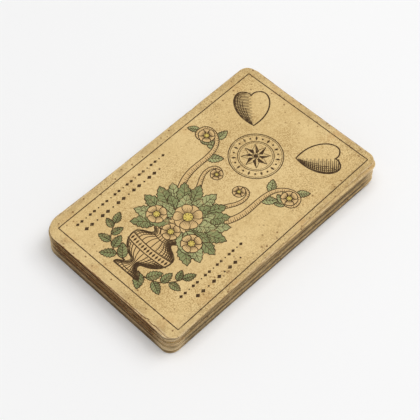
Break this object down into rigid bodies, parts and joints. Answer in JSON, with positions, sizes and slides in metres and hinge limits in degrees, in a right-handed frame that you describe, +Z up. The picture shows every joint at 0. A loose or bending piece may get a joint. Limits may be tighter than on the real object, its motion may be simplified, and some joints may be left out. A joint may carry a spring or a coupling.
{
  "type": "playing card deck",
  "caption": "Stack of worn German-suited playing cards lying face up, roughly squared by hand, that can be fanned, cut and dealt from the top",
  "frame": {"origin": "centre of the underside of the bottom card, on the table", "axes": "+Y along the cards towards the top of the faces, +X to the right of the faces, +Z up out of the faces"},
  "size_m": [0.063, 0.1004, 0.0102],
  "materials": {
    "card_stock": "aged uncoated pasteboard, yellowed, matte, soiled at the edges"
  },
  "bodies": {
    "card_01": {"card_01_acorns_seven": "card_stock"},
    "card_02": {"card_02_acorns_eight": "card_stock"},
    "card_03": {"card_03_acorns_nine": "card_stock"},
    "card_04": {"card_04_acorns_unter": "card_stock"},
    "card_05": {"card_05_acorns_ober": "card_stock"},
    "card_06": {"card_06_acorns_king": "card_stock"},
    "card_07": {"card_07_acorns_ten": "card_stock"},
    "card_08": {"card_08_acorns_deuce": "card_stock"},
    "card_09": {"card_09_leaves_seven": "card_stock"},
    "card_10": {"card_10_leaves_eight": "card_stock"},
    "card_11": {"card_11_leaves_nine": "card_stock"},
    "card_12": {"card_12_leaves_unter": "card_stock"},
    "card_13": {"card_13_leaves_ober": "card_stock"},
    "card_14": {"card_14_leaves_king": "card_stock"},
    "card_15": {"card_15_leaves_ten": "card_stock"},
    "card_16": {"card_16_leaves_deuce": "card_stock"},
    "card_17": {"card_17_bells_seven": "card_stock"},
    "card_18": {"card_18_bells_eight": "card_stock"},
    "card_19": {"card_19_bells_nine": "card_stock"},
    "card_20": {"card_20_bells_unter": "card_stock"},
    "card_21": {"card_21_bells_ober": "card_stock"},
    "card_22": {"card_22_bells_king": "card_stock"},
    "card_23": {"card_23_bells_ten": "card_stock"},
    "card_24": {"card_24_bells_deuce": "card_stock"},
    "card_25": {"card_25_hearts_seven": "card_stock"},
    "card_26": {"card_26_hearts_eight": "card_stock"},
    "card_27": {"card_27_hearts_nine": "card_stock"},
    "card_28": {"card_28_hearts_unter": "card_stock"},
    "card_29": {"card_29_hearts_ober": "card_stock"},
    "card_30": {"card_30_hearts_king": "card_stock"},
    "card_31": {"card_31_hearts_ten": "card_stock"},
    "card_32": {"card_32_hearts_deuce": "card_stock"}
  },
  "joints": [
    {"name": "cut_lift", "type": "slide", "parent": "card_16", "child": "card_17", "axis": [0, 0, 1], "range_m": [0, 0.06]},
    {"name": "deal_slide", "type": "slide", "parent": "card_31", "child": "card_32", "axis": [1, 0, 0], "range_m": [0, 0.07]},
    {"name": "fan_swivel_02", "type": "hinge", "parent": "card_01", "child": "card_02", "pos_m": [0, -0.0358, 0], "axis": [0, 0, 1], "range_deg": [-5, 5]},
    {"name": "fan_swivel_03", "type": "hinge", "parent": "card_02", "child": "card_03", "pos_m": [0, -0.0358, 0], "axis": [0, 0, 1], "range_deg": [-5, 5]},
    {"name": "fan_swivel_04", "type": "hinge", "parent": "card_03", "child": "card_04", "pos_m": [0, -0.0358, 0], "axis": [0, 0, 1], "range_deg": [-5, 5]},
    {"name": "fan_swivel_05", "type": "hinge", "parent": "card_04", "child": "card_05", "pos_m": [0, -0.0358, 0], "axis": [0, 0, 1], "range_deg": [-5, 5]},
    {"name": "fan_swivel_06", "type": "hinge", "parent": "card_05", "child": "card_06", "pos_m": [0, -0.0358, 0], "axis": [0, 0, 1], "range_deg": [-5, 5]},
    {"name": "fan_swivel_07", "type": "hinge", "parent": "card_06", "child": "card_07", "pos_m": [0, -0.0358, 0], "axis": [0, 0, 1], "range_deg": [-5, 5]},
    {"name": "fan_swivel_08", "type": "hinge", "parent": "card_07", "child": "card_08", "pos_m": [0, -0.0358, 0], "axis": [0, 0, 1], "range_deg": [-5, 5]},
    {"name": "fan_swivel_09", "type": "hinge", "parent": "card_08", "child": "card_09", "pos_m": [0, -0.0358, 0], "axis": [0, 0, 1], "range_deg": [-5, 5]},
    {"name": "fan_swivel_10", "type": "hinge", "parent": "card_09", "child": "card_10", "pos_m": [0, -0.0358, 0], "axis": [0, 0, 1], "range_deg": [-5, 5]},
    {"name": "fan_swivel_11", "type": "hinge", "parent": "card_10", "child": "card_11", "pos_m": [0, -0.0358, 0], "axis": [0, 0, 1], "range_deg": [-5, 5]},
    {"name": "fan_swivel_12", "type": "hinge", "parent": "card_11", "child": "card_12", "pos_m": [0, -0.0358, 0], "axis": [0, 0, 1], "range_deg": [-5, 5]},
    {"name": "fan_swivel_13", "type": "hinge", "parent": "card_12", "child": "card_13", "pos_m": [0, -0.0358, 0], "axis": [0, 0, 1], "range_deg": [-5, 5]},
    {"name": "fan_swivel_14", "type": "hinge", "parent": "card_13", "child": "card_14", "pos_m": [0, -0.0358, 0], "axis": [0, 0, 1], "range_deg": [-5, 5]},
    {"name": "fan_swivel_15", "type": "hinge", "parent": "card_14", "child": "card_15", "pos_m": [0, -0.0358, 0], "axis": [0, 0, 1], "range_deg": [-5, 5]},
    {"name": "fan_swivel_16", "type": "hinge", "parent": "card_15", "child": "card_16", "pos_m": [0, -0.0358, 0], "axis": [0, 0, 1], "range_deg": [-5, 5]},
    {"name": "fan_swivel_18", "type": "hinge", "parent": "card_17", "child": "card_18", "pos_m": [0, -0.0358, 0], "axis": [0, 0, 1], "range_deg": [-5, 5]},
    {"name": "fan_swivel_19", "type": "hinge", "parent": "card_18", "child": "card_19", "pos_m": [0, -0.0358, 0], "axis": [0, 0, 1], "range_deg": [-5, 5]},
    {"name": "fan_swivel_20", "type": "hinge", "parent": "card_19", "child": "card_20", "pos_m": [0, -0.0358, 0], "axis": [0, 0, 1], "range_deg": [-5, 5]},
    {"name": "fan_swivel_21", "type": "hinge", "parent": "card_20", "child": "card_21", "pos_m": [0, -0.0358, 0], "axis": [0, 0, 1], "range_deg": [-5, 5]},
    {"name": "fan_swivel_22", "type": "hinge", "parent": "card_21", "child": "card_22", "pos_m": [0, -0.0358, 0], "axis": [0, 0, 1], "range_deg": [-5, 5]},
    {"name": "fan_swivel_23", "type": "hinge", "parent": "card_22", "child": "card_23", "pos_m": [0, -0.0358, 0], "axis": [0, 0, 1], "range_deg": [-5, 5]},
    {"name": "fan_swivel_24", "type": "hinge", "parent": "card_23", "child": "card_24", "pos_m": [0, -0.0358, 0], "axis": [0, 0, 1], "range_deg": [-5, 5]},
    {"name": "fan_swivel_25", "type": "hinge", "parent": "card_24", "child": "card_25", "pos_m": [0, -0.0358, 0], "axis": [0, 0, 1], "range_deg": [-5, 5]},
    {"name": "fan_swivel_26", "type": "hinge", "parent": "card_25", "child": "card_26", "pos_m": [0, -0.0358, 0], "axis": [0, 0, 1], "range_deg": [-5, 5]},
    {"name": "fan_swivel_27", "type": "hinge", "parent": "card_26", "child": "card_27", "pos_m": [0, -0.0358, 0], "axis": [0, 0, 1], "range_deg": [-5, 5]},
    {"name": "fan_swivel_28", "type": "hinge", "parent": "card_27", "child": "card_28", "pos_m": [0, -0.0358, 0], "axis": [0, 0, 1], "range_deg": [-5, 5]},
    {"name": "fan_swivel_29", "type": "hinge", "parent": "card_28", "child": "card_29", "pos_m": [0, -0.0358, 0], "axis": [0, 0, 1], "range_deg": [-5, 5]},
    {"name": "fan_swivel_30", "type": "hinge", "parent": "card_29", "child": "card_30", "pos_m": [0, -0.0358, 0], "axis": [0, 0, 1], "range_deg": [-5, 5]},
    {"name": "fan_swivel_31", "type": "hinge", "parent": "card_30", "child": "card_31", "pos_m": [0, -0.0358, 0], "axis": [0, 0, 1], "range_deg": [-5, 5]}
  ]
}
